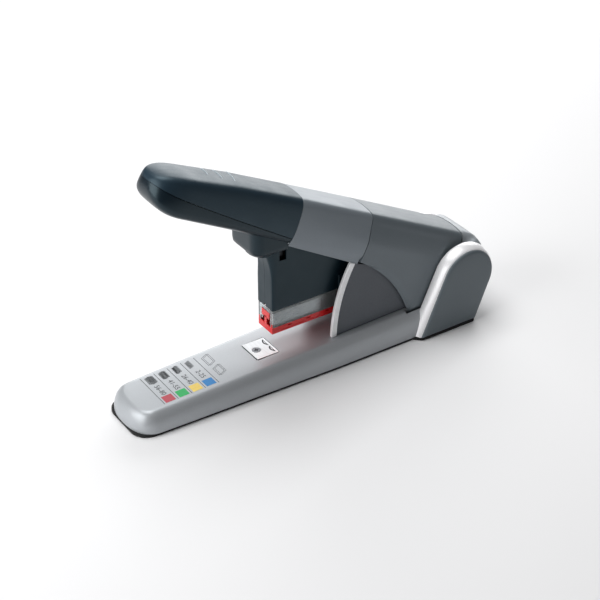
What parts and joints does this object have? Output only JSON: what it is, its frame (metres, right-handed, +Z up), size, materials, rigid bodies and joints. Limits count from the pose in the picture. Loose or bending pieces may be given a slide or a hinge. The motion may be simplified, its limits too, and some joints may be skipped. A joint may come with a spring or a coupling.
{
  "type": "stapler",
  "caption": "Long-arm heavy-duty stapler with a pressed-down lever handle, a vertically guided head, a pull-out staple cartridge and a flat base with an anvil.",
  "frame": {"origin": "middle of the footprint's box, on the table under the rubber foot", "axes": "+X along the base from the nose to the housing, +Y across, +Z up"},
  "size_m": [0.278, 0.0666, 0.1732],
  "materials": {
    "foot_rubber": "matt black rubber",
    "zinc_steel": "zinc-plated steel",
    "silver_paint": "satin metallic silver paint",
    "anvil_steel": "bright nickel-plated steel",
    "guard_plastic": "fine-grained dark grey plastic",
    "bright_trim": "satin bright silver",
    "black_steel": "blackened steel",
    "spring_wire": "drawn spring steel",
    "cheek_plastic": "fine-grained grey plastic",
    "rear_plastic": "satin metallic grey plastic",
    "mid_plastic": "satin metallic light grey plastic",
    "soft_grip": "soft-touch dark blue-grey plastic",
    "gloss_dark": "glossy dark blue-grey plastic",
    "head_plastic": "satin dark blue plastic",
    "black_plastic": "black nylon",
    "bush_nylon": "natural nylon",
    "red_plastic": "translucent red plastic",
    "clear_plastic": "clear plastic",
    "staple_wire": "zinc-plated staple wire"
  },
  "bodies": {
    "base": {"rubber_foot": "foot_rubber", "base_plate": "zinc_steel", "base_cover": "silver_paint", "base_screws": "zinc_steel", "anvil_plate": "anvil_steel", "anvil_screw": "anvil_steel", "guard_left": "guard_plastic", "guard_right": "guard_plastic", "guard_trim_left": "bright_trim", "guard_trim_right": "bright_trim", "chassis_bracket": "zinc_steel", "chassis_screws": "zinc_steel", "pivot_axle": "zinc_steel", "axle_clips": "black_steel", "stop_pin": "zinc_steel", "guide_posts": "zinc_steel", "head_springs": "spring_wire", "handle_spring": "spring_wire", "cheek_left": "cheek_plastic", "cheek_right": "cheek_plastic", "cheek_screws": "zinc_steel", "band_left": "bright_trim", "band_right": "bright_trim", "tail_cover": "rear_plastic"},
    "handle": {"grip_top": "soft_grip", "grip_lower": "gloss_dark", "mid_shell": "mid_plastic", "rear_shell": "rear_plastic", "lever_channel": "zinc_steel", "pivot_bushes": "bush_nylon", "handle_screws": "zinc_steel"},
    "head": {"head_shell_left": "head_plastic", "head_shell_right": "head_plastic", "head_carriage": "black_plastic", "magazine_rail": "zinc_steel", "rail_detent": "spring_wire", "head_screws": "zinc_steel"},
    "driver": {"driver_blade": "anvil_steel", "driver_block": "black_steel", "driver_pin": "zinc_steel"},
    "cartridge": {"cartridge_tray": "red_plastic", "cartridge_cover": "clear_plastic", "staple_stick": "staple_wire", "pusher_spring": "spring_wire"},
    "pusher": {"cartridge_pusher": "black_plastic"}
  },
  "joints": [
    {"name": "handle_press", "type": "hinge", "parent": "base", "child": "handle", "pos_m": [0.111, 0, 0.041], "axis": [0, -1, 0], "range_deg": [0, 11], "stiffness_Nm_per_rad": 2, "springref_deg": -34.38, "deforming": ["handle_spring"]},
    {"name": "head_press", "type": "slide", "parent": "base", "child": "head", "axis": [0, 0, -1], "range_m": [0, 0.0117], "stiffness_N_per_m": 400, "springref_m": -0.01, "deforming": ["head_springs"]},
    {"name": "driver_stroke", "type": "slide", "parent": "head", "child": "driver", "axis": [0, 0, -1], "range_m": [0, 0.0176]},
    {"name": "cartridge_slide", "type": "slide", "parent": "head", "child": "cartridge", "axis": [-1, 0, 0], "range_m": [0, 0.086]},
    {"name": "pusher_slide", "type": "slide", "parent": "cartridge", "child": "pusher", "axis": [1, 0, 0], "range_m": [0, 0.01], "stiffness_N_per_m": 60, "springref_m": -0.03, "deforming": ["pusher_spring"]}
  ],
  "couplings": [
    {"joint": "head_press", "follows": "handle_press", "m_per_rad": 0.0609},
    {"joint": "driver_stroke", "follows": "handle_press", "m_per_rad": 0.0915}
  ]
}
